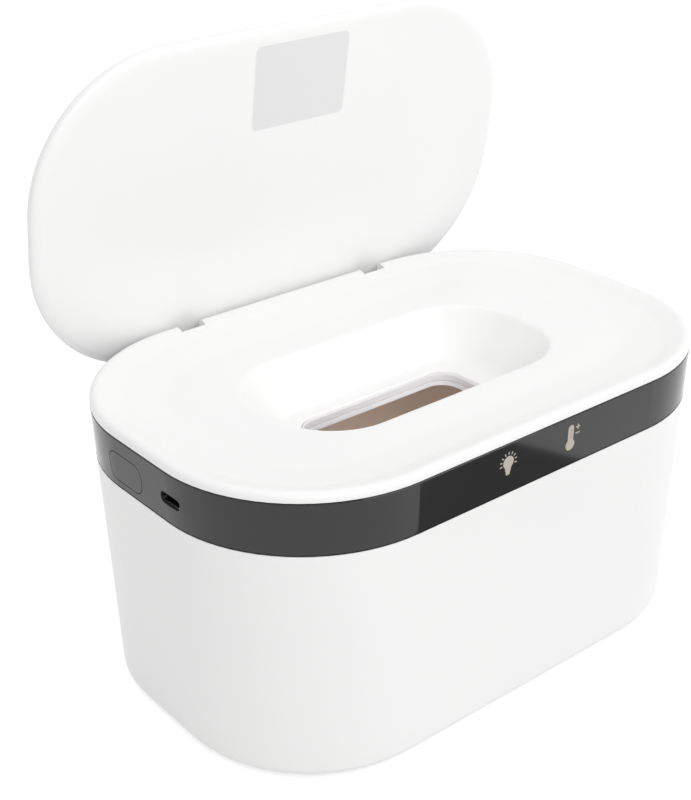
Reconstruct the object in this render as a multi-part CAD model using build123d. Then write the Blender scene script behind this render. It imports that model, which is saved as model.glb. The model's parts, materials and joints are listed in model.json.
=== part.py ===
from build123d import *
import os
from math import atan, cos, degrees, radians, sin

# Millimetres. z = 0 is the table under the feet, X runs along the length and -Y is the front.
# The lid stands open at rest. The cover, the lid and the power button are at their places in use.

# Body walls, sized at the top edge of the control band
body_length = 200.0
body_width = 129.4
body_corner = 51.0
wall_draft = 0.032  # inward lean of the walls, mm for each mm downwards
foot_height = 1.2
shell_height = 80.5
band_height = 16.9
bottom_radius = 3.5
shell_wall = 2.4
floor_thickness = 3.0
seam_gap = 0.4  # visible shadow line between the band and the cover
slip_fit = 0.15  # clearance between pieces that slot together
running_gap = 0.3  # clearance between pieces that move past each other
fusing_lap = 0.5  # how far joined solids of one moulding run into each other
edge_break = 0.3  # small chamfer on the outer edges of the mouldings

# Base plate, its screws and feet
base_opening_inset = 17.0
base_rebate_inset = 10.0
base_rebate_depth = 1.6
base_plate_thickness = 1.5
screw_inset = 14.0
screw_radius = 1.25
screw_head_radius = 2.7
screw_head_height = 0.9
screw_tip_room = 0.9
boss_radius = 3.4
boss_cap = 2.0
boss_clearance = 1.2  # boss to the chamber above it
cross_reach = 1.5
cross_half_width = 0.3
foot_radius = 6.0
foot_spacing_x = 112.0
foot_spacing_y = 62.0
foot_recess = 0.5
foot_chamfer = 0.4

# Control band
band_wall = 2.8
spigot_depth = 3.5
spigot_wall = 1.5
spigot_root = 2.0  # height of the step that joins the spigot to the wall
root_overlap = 0.4  # how far a rib runs into the wall that carries it
ledge_depth = 2.6
ledge_thickness = 1.5

# Wipe chamber, sized at its flange
chamber_board_gap = 1.1  # tallest chip to the chamber's end
chamber_hinge_gap = 0.8  # chamber's side to the hinge block
chamber_corner = 36.0
chamber_draft = 0.02
chamber_wall = 1.8
chamber_floor_radius = 5.0
chamber_floor_height = 15.0  # inner floor above the shell's bottom edge
flange_thickness = 1.6
flange_drop = 4.2  # flange's top face below the band's top edge
flange_inset = 3.3

# Heating pack under the chamber
heater_length = 118.0
heater_width = 66.0
heater_corner = 12.0
heater_plate_thickness = 1.0
heater_film_thickness = 0.3
foam_margin = 5.0
fuse_radius = 1.6
fuse_length = 11.0
fuse_x = -22.0
sensor_radius = 1.2
sensor_length = 5.0
sensor_x = 18.0

# Control board and what it carries, at the left end
board_thickness = 1.6
board_width = 50.0
board_drop = 6.4  # board's top edge below the band's top edge
board_height = 25.0
board_corner = 1.5
# across, up the board, width, height and depth of each chip
board_chips = ((-7.0, 11.0, 9.0, 7.0, 1.2), (6.0, 15.0, 13.0, 5.0, 1.0), (7.0, 6.5, 4.0, 4.0, 1.9))
board_screw_spacing = 36.0
board_screw_rise = 5.0
board_boss_radius = 3.0
board_screw_radius = 1.1
board_screw_head_radius = 2.1
board_screw_head_height = 1.4
board_screw_chamfer = 0.4
board_screw_length = 4.0
port_y = -15.1
port_drop = 8.8  # port's centre below the band's top edge
port_width = 9.4
port_height = 3.9
socket_width = 8.9
socket_height = 3.2
socket_wall = 0.3
socket_recess = 0.8
socket_base = 1.6
socket_tongue_width = 6.7
socket_tongue_height = 0.7
socket_tongue_recess = 1.2
button_y = 8.9
button_drop = 9.7
button_width = 18.2
button_height = 9.9
button_corner = 4.0
button_gap = 0.25
button_depth = 3.9
button_tab_reach = 1.3
button_tab_height = 5.0
button_tab_thickness = 0.8
button_tab_corner = 1.0
button_travel = 0.5
switch_size = 6.0
switch_depth = 3.5
switch_plunger_radius = 1.75
switch_slack = 0.1
switch_plunger_height = 1.29

# Touch board behind the front of the band
touch_board_length = 52.0
touch_board_thickness = 1.0
touch_board_inset = 4.2
touch_pad_width = 9.0
touch_pad_margin = 0.8
light_pad_x = -14.3
heat_pad_x = 12.3
led_length = 3.0
led_height = 1.4
led_thickness = 0.7
led_pitch = 4.5

# Cover: rim, shallow dish, well and dispensing slot
rim_height = 2.7
rim_radius = 1.9
rim_width = 2.6
rim_crest_radius = 1.8  # where the rim turns down into the dish
dish_bank_inset = 9.0
dish_bank_depth = 2.5
dish_bank_radius = 12.0
dish_floor_inset = 22.0
dish_floor_radius = 20.0
dish_depth = 4.3
cover_wall = 2.4
cover_skirt_gap = 0.5
cover_core_depth = 1.9
cover_core_inset = 3.0
cover_core_width = 6.0
well_length = 110.0
well_width = 56.6
well_corner = 24.0
well_floor_length = 82.0
well_floor_width = 35.0
well_floor_corner = 13.0
well_depth = 16.2
well_edge_radius = 2.2
well_floor_radius = 5.0
well_wall = 3.0
slot_length = 64.0
slot_width = 26.0
slot_corner = 8.0
slot_chamfer = 0.5
slot_ring_wall = 1.6
slot_ring_lip = 3.0
slot_ring_depth = 3.6
slot_ring_lip_thickness = 1.2
slot_ring_recess = 0.8  # insert's top edge below the well's floor
seal_width = 1.6
seal_height = 1.1

# Lid
lid_length = 193.0
lid_width = 112.0
lid_corner = 48.5
lid_rear_inset = 2.3
lid_rest_gap = 0.5
lid_panel_thickness = 2.5
lid_border_width = 4.0  # soft border of the lid's inner face
lid_border_height = 1.7
lid_border_radius = 5.0
lid_edge_radius = 0.7
lid_panel_pocket = 0.9
lid_shell_height = 4.0
lid_shell_wall = 2.0
lid_shell_radius = 3.0
lid_parting_chamfer = 0.3
lid_crown_x = 1.0  # rise over the length
lid_crown_y = 1.05  # rise over the width

# Hinge
hinge_inset = 5.1  # axis forward of the closed lid's rear edge
hinge_drop = 10.1  # axis below the closed lid's inner face
hinge_open_angle = 80.2  # at rest
hinge_full_angle = 95.0
notch_inset = 3.1  # notch's end from the hinge block's end
notch_depth = 2.0
sweep_gap = 0.4
hinge_block_wall = 2.4
hinge_block_front_wall = 1.4  # between the arms' pockets and the chamber's side
arm_x = 40.0
arm_width = 9.0
barrel_radius = 2.8
pin_radius = 1.25
pin_length = 17.5
pin_running_fit = 0.06
pin_end_wall = 3.65
arm_clearance = 0.5  # round the arm's barrel and under its bow
pocket_roof = 4.3
pocket_throat = 2.9
arm_root = 1.8  # arm's top above the lid's inner face
# points (rearwards, upwards) from the hinge axis, between the barrel and the arm's top
arm_rear_side = ((0.8, -2.3), (6.0, 3.0), (6.3, 7.4))
arm_front_side = ((3.6, 7.4), (2.9, 4.0), (-1.2, 2.2))
arm_top = (1.4, 4.4)

# Levels
shell_bottom = foot_height
band_bottom = shell_bottom + shell_height
band_top = band_bottom + band_height
cover_seat = band_top + seam_gap
rim_top = cover_seat + rim_height
above_rim = rim_top + rim_height  # height that cuts through the rim run to
dish_floor = rim_top - dish_depth
well_floor = dish_floor - well_depth
flange_top = band_top - flange_drop
flange_bottom = flange_top - flange_thickness
cover_underside = dish_floor - cover_wall
seal_bottom = flange_top + running_gap
seal_top = seal_bottom + seal_height
chamber_floor = shell_bottom + chamber_floor_height
chamber_underside = chamber_floor - chamber_wall
boss_top = chamber_underside - boss_clearance
base_plate_top = shell_bottom + base_rebate_depth
base_plate_bottom = base_plate_top - base_plate_thickness
lid_face = rim_top + lid_rest_gap
lid_parting = lid_face + lid_panel_thickness
lid_rear = body_width / 2 - lid_rear_inset
lid_y = lid_rear - lid_width / 2
hinge_y = lid_rear - hinge_inset
hinge_z = lid_face - hinge_drop
port_z = band_top - port_drop
button_z = band_top - button_drop

# Places that follow the hinge
hinge_block_half_length = arm_x + pin_length / 2 + pin_end_wall
notch_half_length = hinge_block_half_length - notch_inset
pocket_front_face = hinge_y - barrel_radius - arm_clearance
hinge_block_front = pocket_front_face - hinge_block_front_wall
arm_swing = radians(hinge_full_angle)
arm_drop = max(rear * sin(arm_swing) - up * cos(arm_swing) for rear, up in arm_rear_side)
pocket_floor = hinge_z - arm_drop - arm_clearance

# Places that follow the button and the board
button_back = -body_length / 2 + wall_draft * button_drop + button_depth
board_face = button_back + button_travel + switch_slack + switch_plunger_height + switch_depth
board_back = board_face + board_thickness
board_top = band_top - board_drop
chips_face = board_back + max(depth for *_, depth in board_chips)
chamber_length = -2 * (chips_face + chamber_board_gap + chamber_wall)
chamber_width = 2 * (hinge_block_front - chamber_hinge_gap - chamber_wall)


class Wall:
    """A rounded-rectangular wall, sized at one level, that leans inwards below it."""

    def __init__(self, length, width, corner, draft, level):
        self.length = length
        self.width = width
        self.corner = corner
        self.draft = draft
        self.level = level

    def section(self, z, inset=0.0):
        lean = self.draft * (self.level - z) + inset
        shape = RectangleRounded(self.length - 2 * lean, self.width - 2 * lean, self.corner - lean)
        return Pos(0, 0, z) * shape

    def solid(self, z_low, z_high, inset=0.0):
        return extrude(self.section(z_low, inset), z_high - z_low, taper=-degrees(atan(self.draft)))

    def ring(self, z_low, z_high, outer_inset, inner_inset):
        return self.solid(z_low, z_high, outer_inset) - self.solid(z_low, z_high, inner_inset)


body = Wall(body_length, body_width, body_corner, wall_draft, band_top)
chamber = Wall(chamber_length, chamber_width, chamber_corner, chamber_draft, flange_top)


def block(x_low, x_high, y_low, y_high, z_low, z_high):
    centre = Pos((x_low + x_high) / 2, (y_low + y_high) / 2, (z_low + z_high) / 2)
    return centre * Box(x_high - x_low, y_high - y_low, z_high - z_low)


def rod(radius, start, end):
    """A round rod from one point to another, parallel to an axis."""
    direction = Vector(*end) - Vector(*start)
    plane = Plane(origin=start, z_dir=direction)
    return extrude(plane * Circle(radius), direction.length)


def rounded_prism(length, width, corner, z_low, z_high):
    return extrude(Pos(0, 0, z_low) * RectangleRounded(length, width, corner), z_high - z_low)


def end_prism(width, height, corner, y, z, x_low, x_high):
    """A rounded-rectangular prism that runs along X."""
    plane = Plane(origin=(x_low, y, z), x_dir=(0, 1, 0), z_dir=(1, 0, 0))
    return extrude(plane * RectangleRounded(width, height, corner), x_high - x_low)


def port_prism(width, height, x_low, x_high):
    """A prism with round ends, centred on the port."""
    return end_prism(width, height, height / 2 - 0.01, port_y, port_z, x_low, x_high)


def funnel(z_low, low_size, z_high, high_size):
    """A straight-sided funnel between two rounded rectangles (length, width, corner)."""
    low = Pos(0, 0, z_low) * RectangleRounded(*low_size)
    high = Pos(0, 0, z_high) * RectangleRounded(*high_size)
    return loft([low, high], ruled=True)


def level_edges(shape, z):
    """Edges of a shape that lie level at one height."""
    return shape.edges().filter_by(lambda edge: abs(edge.center().Z - z) < 0.01
                                   and edge.bounding_box().size.Z < 0.01)


def level_face(shape, z):
    """The largest level face of a shape at one height."""
    faces = shape.faces().filter_by(Axis.Z).filter_by(lambda face: abs(face.center().Z - z) < 0.01)
    return faces.sort_by(SortBy.AREA)[-1]


def outline_edges(shape, z):
    return level_face(shape, z).outer_wire().edges()


def opening_edges(shape, z):
    return level_face(shape, z).inner_wires()[0].edges()


def base_screw_places():
    """Screw axes on the diagonals of the floor's corners."""
    lean = wall_draft * (band_top - shell_bottom)
    reach = (body_corner - lean - screw_inset) * cos(radians(45))
    x = body_length / 2 - body_corner + reach
    y = body_width / 2 - body_corner + reach
    return [(x, y), (x, -y), (-x, y), (-x, -y)]


def board_screw_places():
    z = board_top - board_height + board_screw_rise
    return [(-board_screw_spacing / 2, z), (board_screw_spacing / 2, z)]


def make_outer_shell():
    outside = body.solid(shell_bottom, band_bottom)
    outside = fillet(outside.edges().group_by(Axis.Z)[0], bottom_radius)
    outside = chamfer(outline_edges(outside, band_bottom), edge_break)
    floor_top = shell_bottom + floor_thickness
    shell = outside - body.solid(floor_top, band_bottom, shell_wall)
    shell -= extrude(body.section(shell_bottom, base_opening_inset), floor_thickness)
    shell -= extrude(body.section(shell_bottom, base_rebate_inset), base_rebate_depth)
    for x, y in base_screw_places():
        shell += rod(boss_radius, (x, y, base_plate_top), (x, y, boss_top))
        shell -= rod(screw_radius + slip_fit, (x, y, shell_bottom), (x, y, boss_top - boss_cap))
    wall_mid = -body_length / 2 + wall_draft * board_height + shell_wall / 2
    for y, z in board_screw_places():
        shell += rod(board_boss_radius, (wall_mid, y, z), (board_face, y, z))
        hole_end = board_face - board_screw_length - boss_cap / 2
        shell -= rod(board_screw_radius, (hole_end, y, z), (board_face, y, z))
    return shell


def make_base_plate():
    plate = extrude(body.section(shell_bottom, base_rebate_inset + slip_fit), base_plate_thickness)
    plate = Pos(0, 0, base_plate_bottom - shell_bottom) * plate
    for x, y in base_screw_places():
        plate -= rod(screw_radius + slip_fit, (x, y, 0), (x, y, base_plate_top))
    for place in GridLocations(foot_spacing_x, foot_spacing_y, 2, 2):
        plate -= place * Pos(0, 0, base_plate_bottom) * Cylinder(foot_radius + slip_fit, 2 * foot_recess)
    return plate


def make_base_screws():
    screws = []
    for x, y in base_screw_places():
        head_top = base_plate_bottom
        head = rod(screw_head_radius, (x, y, head_top - screw_head_height), (x, y, head_top))
        head = chamfer(head.edges().group_by(Axis.Z)[0], screw_head_height / 3)
        shank = rod(screw_radius, (x, y, head_top), (x, y, boss_top - boss_cap - screw_tip_room))
        recess_top = head_top - screw_head_height / 2
        cross = rounded_prism(2 * cross_reach, 2 * cross_half_width, cross_half_width / 2, 0, recess_top)
        cross += rounded_prism(2 * cross_half_width, 2 * cross_reach, cross_half_width / 2, 0, recess_top)
        screws.append(head + shank - Pos(x, y) * cross)
    return Compound(children=screws)


def make_rubber_feet():
    feet = []
    for place in GridLocations(foot_spacing_x, foot_spacing_y, 2, 2):
        height = base_plate_bottom + foot_recess
        foot = Pos(0, 0, height / 2) * Cylinder(foot_radius, height)
        foot = chamfer(foot.edges().group_by(Axis.Z)[0], foot_chamfer)
        feet.append(place * foot)
    return Compound(children=feet)


def hinge_window(margin=0.0):
    """The gap in the back of the band that the cover's hinge block fills."""
    half = hinge_block_half_length + margin
    front = hinge_block_front - margin
    return block(-half, half, front, body_width, band_bottom + seam_gap - margin, band_top + band_height)


def button_relief():
    """Room behind the button, through the ledge and the chamber's flange."""
    half = button_width / 2 + button_tab_reach + 2 * button_gap
    reach = -body_length / 2 + button_depth + button_travel + 3 * running_gap
    return block(-body_length, reach, button_y - half, button_y + half, band_bottom, band_top - seam_gap)


def make_control_band():
    band = body.ring(band_bottom, band_top, 0, band_wall)
    for z in (band_bottom, band_top):
        band = chamfer(outline_edges(band, z), edge_break)
    spigot_inset = shell_wall + slip_fit
    spigot_low = band_bottom - spigot_depth
    rib_outset = band_wall - root_overlap
    ledge = body.ring(flange_bottom - ledge_thickness, flange_bottom, rib_outset, band_wall + ledge_depth)
    band += ledge - button_relief()
    band -= hinge_window(seam_gap)
    band += body.ring(spigot_low, band_bottom, spigot_inset, spigot_inset + spigot_wall)
    root = body.ring(band_bottom, band_bottom + spigot_root, rib_outset, spigot_inset + spigot_wall)
    band += root - hinge_window(spigot_root)
    wall_zone = (-body_length / 2 - 1, -body_length / 2 + band_wall + ledge_depth + 1)
    band -= end_prism(button_width, button_height, button_corner, button_y, button_z, *wall_zone)
    band -= port_prism(port_width, port_height, *wall_zone)
    return band


def make_power_button():
    """Flush push cap, shaped by the end wall, with a tab at each side that holds it in."""
    x_low = -body_length / 2 - 1
    x_high = -body_length / 2 + 2 * button_depth
    corner = button_corner - button_gap
    cap = end_prism(button_width - 2 * button_gap, button_height - 2 * button_gap, corner,
                    button_y, button_z, x_low, x_high)
    cap = cap & body.ring(band_bottom, band_top, 0, button_depth)
    tabs = end_prism(button_width + 2 * button_tab_reach, button_tab_height, button_tab_corner,
                     button_y, button_z, x_low, x_high)
    tabs = tabs & body.ring(band_bottom, band_top, button_depth - button_tab_thickness, button_depth)
    return cap + tabs


def make_wipe_chamber():
    outside = chamber.solid(chamber_underside, flange_top, -chamber_wall)
    outside = fillet(outside.edges().group_by(Axis.Z)[0], chamber_floor_radius + chamber_wall)
    inside = chamber.solid(chamber_floor, flange_top)
    inside = fillet(inside.edges().group_by(Axis.Z)[0], chamber_floor_radius)
    flange = body.solid(flange_bottom, flange_top, flange_inset)
    flange -= hinge_window(seam_gap)
    flange -= button_relief()
    return outside + flange - inside


def make_heater_plate():
    z_high = chamber_underside
    return rounded_prism(heater_length, heater_width, heater_corner, z_high - heater_plate_thickness, z_high)


def make_heater_film():
    z_high = chamber_underside - heater_plate_thickness
    trim = 2 * foam_margin
    return rounded_prism(heater_length - trim, heater_width - trim, heater_corner / 2,
                         z_high - heater_film_thickness, z_high)


def sensor_level(radius):
    return chamber_underside - heater_plate_thickness - heater_film_thickness - radius


def make_thermal_fuse():
    z = sensor_level(fuse_radius)
    return rod(fuse_radius, (fuse_x, -fuse_length / 2, z), (fuse_x, fuse_length / 2, z))


def make_temperature_sensor():
    z = sensor_level(sensor_radius)
    bead = rod(sensor_radius, (sensor_x, -sensor_length / 2, z), (sensor_x, sensor_length / 2, z))
    return chamfer(bead.edges(), sensor_radius / 2)


def make_insulation_foam():
    z_high = chamber_underside - heater_plate_thickness
    foam = rounded_prism(heater_length, heater_width, heater_corner, base_plate_top, z_high)
    foam -= make_heater_film()
    for x, radius, length in ((fuse_x, fuse_radius, fuse_length), (sensor_x, sensor_radius, sensor_length)):
        side = radius + slip_fit
        half = length / 2 + slip_fit
        foam -= block(x - side, x + side, -half, half, z_high - 2 * side - heater_film_thickness, z_high)
    return foam


def make_control_board():
    board = block(board_face, board_back, -board_width / 2, board_width / 2,
                  board_top - board_height, board_top)
    board = fillet(board.edges().filter_by(Axis.X), board_corner)
    for y, z in board_screw_places():
        board -= rod(board_screw_radius + slip_fit, (board_face, y, z), (board_back, y, z))
    for y, rise, width, height, depth in board_chips:
        z = board_top - board_height + rise
        board += block(board_back, board_back + depth, y - width / 2, y + width / 2,
                       z - height / 2, z + height / 2)
    return board


def make_board_screws():
    screws = []
    for y, z in board_screw_places():
        head = rod(board_screw_head_radius, (board_back, y, z), (board_back + board_screw_head_height, y, z))
        head = chamfer(head.edges().group_by(Axis.X)[-1], board_screw_chamfer)
        shank = rod(board_screw_radius - 0.02, (board_face - board_screw_length, y, z), (board_back, y, z))
        screws.append(head + shank)
    return Compound(children=screws)


def make_usb_socket():
    mouth = -body_length / 2 + wall_draft * port_drop + socket_recess
    shell = port_prism(socket_width, socket_height, mouth, board_face)
    inner_width = socket_width - 2 * socket_wall
    inner_height = socket_height - 2 * socket_wall
    shell -= port_prism(inner_width, inner_height, mouth, board_face - socket_base)
    tongue = end_prism(socket_tongue_width, socket_tongue_height, 0.2, port_y, port_z,
                       mouth + socket_tongue_recess, board_face - socket_base)
    return shell + tongue


def make_tact_switch():
    half = switch_size / 2
    switch = block(board_face - switch_depth, board_face, button_y - half, button_y + half,
                   button_z - half, button_z + half)
    tip = button_back + button_travel + switch_slack
    return switch + rod(switch_plunger_radius, (tip, button_y, button_z), (board_face, button_y, button_z))


def touch_board_front():
    return -body_width / 2 + touch_board_inset


def touch_zone():
    """Free height for the touch board, between the spigot and the ledge."""
    return band_bottom + spigot_root, flange_bottom - ledge_thickness


def make_touch_board():
    z_low, z_high = touch_zone()
    middle = (light_pad_x + heat_pad_x) / 2
    front = touch_board_front()
    return block(middle - touch_board_length / 2, middle + touch_board_length / 2,
                 front, front + touch_board_thickness, z_low, z_high)


def make_touch_pads():
    pads = []
    z_low, z_high = touch_zone()
    z_span = (z_low + touch_pad_margin, z_high - touch_pad_margin)
    for x in (light_pad_x, heat_pad_x):
        pad = block(x - touch_pad_width / 2, x + touch_pad_width / 2,
                    -body_width / 2, touch_board_front(), *z_span)
        pads.append(pad & body.solid(band_bottom, band_top, band_wall))
    return Compound(children=pads)


def make_night_light_leds():
    z_low, z_high = touch_zone()
    middle = (light_pad_x + heat_pad_x) / 2
    z = (z_low + z_high) / 2
    front = touch_board_front()
    leds = []
    for index in (-1, 0, 1):
        x = middle + index * led_pitch
        leds.append(block(x - led_length / 2, x + led_length / 2, front - led_thickness, front,
                          z - led_height / 2, z + led_height / 2))
    return Compound(children=leds)


def hinge_cylinder(radius, half_length):
    return rod(radius, (-half_length, hinge_y, hinge_z), (half_length, hinge_y, hinge_z))


def dish_space():
    """Shallow dish, banked at its edge."""
    levels = ((rim_top, rim_width), (rim_top - dish_bank_depth, dish_bank_inset),
              (dish_floor, dish_floor_inset))
    space = Part()
    for (z_high, inset_high), (z_low, inset_low) in zip(levels, levels[1:]):
        low = Pos(0, 0, z_low - band_top) * body.section(band_top, inset_low)
        high = Pos(0, 0, z_high - band_top) * body.section(band_top, inset_high)
        space += loft([low, high], ruled=True)
    space = fillet(level_edges(space, rim_top - dish_bank_depth), dish_bank_radius)
    return fillet(level_edges(space, dish_floor), dish_floor_radius)


def well_space():
    space = funnel(well_floor, (well_floor_length, well_floor_width, well_floor_corner),
                   dish_floor, (well_length, well_width, well_corner))
    return fillet(level_edges(space, well_floor), well_floor_radius)


def make_top_cover():
    """Rim, dish and well in one moulding, with the hinge block hanging from its rear edge."""
    rim = extrude(body.section(band_top), rim_height)
    rim = Pos(0, 0, seam_gap) * rim
    rim = fillet(rim.edges().group_by(Axis.Z)[-1], rim_radius)
    rim = chamfer(outline_edges(rim, cover_seat), edge_break)
    skirt_inset = band_wall + cover_skirt_gap
    cover = rim + extrude(Pos(0, 0, cover_underside - band_top) * body.section(band_top, skirt_inset),
                          cover_seat + fusing_lap - cover_underside)
    # well, hanging from the dish
    outer_top = (well_length + 2 * well_wall, well_width + 2 * well_wall, well_corner + well_wall)
    outer_low = (well_floor_length + 2 * well_wall, well_floor_width + 2 * well_wall,
                 well_floor_corner + well_wall)
    cover += funnel(well_floor - cover_wall, outer_low, dish_floor - fusing_lap / 2, outer_top)
    cover -= dish_space()
    cover = fillet(opening_edges(cover, rim_top), rim_crest_radius)
    cover -= well_space()
    cover = fillet(opening_edges(cover, dish_floor), well_edge_radius)
    cover -= rounded_prism(slot_length, slot_width, slot_corner, well_floor - cover_wall, well_floor)
    cover = chamfer(opening_edges(cover, well_floor), slot_chamfer)
    # hinge block, flush with the body's rear wall
    hanging = hinge_window() & body.solid(band_bottom + seam_gap, cover_seat + 1)
    hanging = hanging & extrude(Pos(0, 0, -band_height) * body.section(band_top), band_height + 2)
    cover += hanging
    # core under the rim
    core_low = Pos(0, 0, cover_underside - band_top)
    core_outer = body.section(band_top, skirt_inset + cover_core_inset)
    core_inner = body.section(band_top, skirt_inset + cover_core_inset + cover_core_width)
    cover -= extrude(core_low * (core_outer - core_inner), cover_core_depth)
    core_half = arm_x - arm_width / 2 - running_gap - pin_length / 2
    cover -= block(-core_half, core_half, hinge_block_front + hinge_block_wall,
                   body_width / 2 - hinge_block_wall, band_bottom, hinge_z + pocket_roof)
    # room for the lid's rear edge to sweep past the rim
    behind = block(-body_length, body_length, hinge_y, body_width, hinge_z, above_rim)
    cover -= behind - hinge_cylinder(hinge_drop - sweep_gap, body_length)
    notch = block(-notch_half_length, notch_half_length, hinge_y, body_width, hinge_z, above_rim)
    cover -= notch - hinge_cylinder(hinge_drop - notch_depth, body_length)
    # groove for the seal
    cover -= seal_ring(cover_underside, seal_top)
    for side in (-1, 1):
        cover -= arm_pocket(side)
        cover -= rod(pin_radius, (side * (arm_x - pin_length / 2), hinge_y, hinge_z),
                     (side * (hinge_block_half_length + 1), hinge_y, hinge_z))
    return cover


def arm_pocket(side):
    """Slot in the hinge block that one lid arm swings through."""
    half = arm_width / 2 + running_gap
    x = side * arm_x
    pocket = block(x - half, x + half, pocket_front_face, body_width, pocket_floor, hinge_z + pocket_roof)
    return pocket + block(x - half, x + half, hinge_y + pocket_throat, body_width, hinge_z, above_rim)


def seal_ring(z_low, z_high):
    outer = chamber_wall / 2 + seal_width / 2
    ring = RectangleRounded(chamber_length + 2 * outer, chamber_width + 2 * outer, chamber_corner + outer)
    inner = outer - seal_width
    ring -= RectangleRounded(chamber_length + 2 * inner, chamber_width + 2 * inner, chamber_corner + inner)
    return extrude(Pos(0, 0, z_low) * ring, z_high - z_low)


def make_cover_seal():
    return seal_ring(seal_bottom, seal_top)


def make_slot_ring():
    """Soft insert in the well's floor with the opening that wipes are pulled through."""
    size = (slot_length, slot_width, slot_corner)
    lip = (slot_length + 2 * slot_ring_lip, slot_width + 2 * slot_ring_lip, slot_corner + slot_ring_lip)
    mouth = [value - trim * slot_ring_wall for value, trim in zip(size, (2, 2, 1))]
    floor_low = well_floor - cover_wall
    ring = rounded_prism(*size, floor_low, well_floor - slot_ring_recess)
    ring += rounded_prism(*lip, floor_low - slot_ring_lip_thickness, floor_low)
    return ring - rounded_prism(*mouth, floor_low - slot_ring_depth, well_floor)


def make_hinge_pins():
    pins = []
    for side in (-1, 1):
        start = (side * (arm_x - pin_length / 2), hinge_y, hinge_z)
        pins.append(rod(pin_radius, start, (side * (arm_x + pin_length / 2), hinge_y, hinge_z)))
    return Compound(children=pins)


def opened(piece):
    """The closed lid's piece, turned up about the hinge to where it stands at rest."""
    axis = Axis((0, hinge_y, hinge_z), (1, 0, 0))
    return piece.rotate(axis, -hinge_open_angle)


def lid_prism(inset, z_low, z_high):
    size = (lid_length - 2 * inset, lid_width - 2 * inset, lid_corner - inset)
    return Pos(0, lid_y, 0) * rounded_prism(*size, z_low, z_high)


def hinge_arm(side):
    front_top, rear_top = [(y, hinge_drop + arm_root) for y in arm_top]
    rear = [(hinge_y + y, hinge_z + z) for y, z in (*arm_rear_side, rear_top)]
    front = [(hinge_y + y, hinge_z + z) for y, z in (front_top, *arm_front_side)]
    sides = Spline(*rear) + Line(rear[-1], front[0]) + Spline(*front) + Line(front[-1], rear[0])
    profile = make_face(sides) + Pos(hinge_y, hinge_z) * Circle(barrel_radius)
    plane = Plane(origin=(side * arm_x - arm_width / 2, 0, 0), x_dir=(0, 1, 0), z_dir=(1, 0, 0))
    arm = extrude(plane * profile, arm_width)
    return arm - hinge_cylinder(pin_radius + pin_running_fit, body_length)


def make_lid_panel():
    """Inner face of the lid, with the two arms that reach down to the hinge."""
    panel = lid_prism(0, lid_face, lid_parting)
    panel = chamfer(level_edges(panel, lid_face), lid_border_height, lid_border_width)
    panel = fillet(level_edges(panel, lid_face), lid_border_radius)
    panel = fillet(level_edges(panel, lid_face + lid_border_height), lid_edge_radius)
    panel -= lid_prism(lid_shell_wall, lid_parting - lid_panel_pocket, lid_parting)
    arms = hinge_arm(-1) + hinge_arm(1)
    arms = arms & block(-body_length, body_length, 0, body_width, 0, lid_parting - lid_panel_pocket)
    return opened(panel + arms)


def crown_radius(span, rise):
    """Radius of the arc that rises so much over a span."""
    return (span ** 2 / 4 + rise ** 2) / (2 * rise)


def make_lid_shell():
    """Slightly crowned outer skin of the lid."""
    top = lid_parting + lid_shell_height
    shell = lid_prism(0, lid_parting, top)
    radius_x = crown_radius(lid_length, lid_crown_x)
    radius_y = crown_radius(lid_width, lid_crown_y)
    shell = shell & Pos(0, lid_y, top - radius_y) * Rot(0, 90, 0) * Cylinder(radius_y, 2 * lid_length)
    shell = shell & Pos(0, lid_y, top - radius_x) * Rot(90, 0, 0) * Cylinder(radius_x, 2 * lid_length)
    shell = fillet(shell.edges().filter_by(lambda edge: edge.center().Z > top - lid_shell_height / 2
                                           and abs(edge.center().Z - lid_parting) > 1), lid_shell_radius)
    shell = chamfer(shell.edges().group_by(Axis.Z)[0], lid_parting_chamfer)
    shell -= lid_prism(lid_shell_wall, lid_parting, top - lid_shell_wall)
    return opened(shell)


pieces = {
    "outer_shell": make_outer_shell,
    "base_plate": make_base_plate,
    "base_screws": make_base_screws,
    "rubber_feet": make_rubber_feet,
    "control_band": make_control_band,
    "wipe_chamber": make_wipe_chamber,
    "heater_plate": make_heater_plate,
    "heater_film": make_heater_film,
    "thermal_fuse": make_thermal_fuse,
    "temperature_sensor": make_temperature_sensor,
    "insulation_foam": make_insulation_foam,
    "control_board": make_control_board,
    "board_screws": make_board_screws,
    "usb_c_socket": make_usb_socket,
    "tact_switch": make_tact_switch,
    "touch_board": make_touch_board,
    "touch_pads": make_touch_pads,
    "night_light_leds": make_night_light_leds,
    "power_button": make_power_button,
    "top_cover": make_top_cover,
    "cover_seal": make_cover_seal,
    "slot_ring": make_slot_ring,
    "hinge_pins": make_hinge_pins,
    "lid_panel": make_lid_panel,
    "lid_shell": make_lid_shell,
}

os.makedirs("parts", exist_ok=True)
for name, make in pieces.items():
    export_step(make(), f"parts/{name}.step")
    print(name)
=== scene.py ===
import json
from math import atan, cos, pi, radians, sin, tan
import bpy
from mathutils import Matrix, Vector


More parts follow.
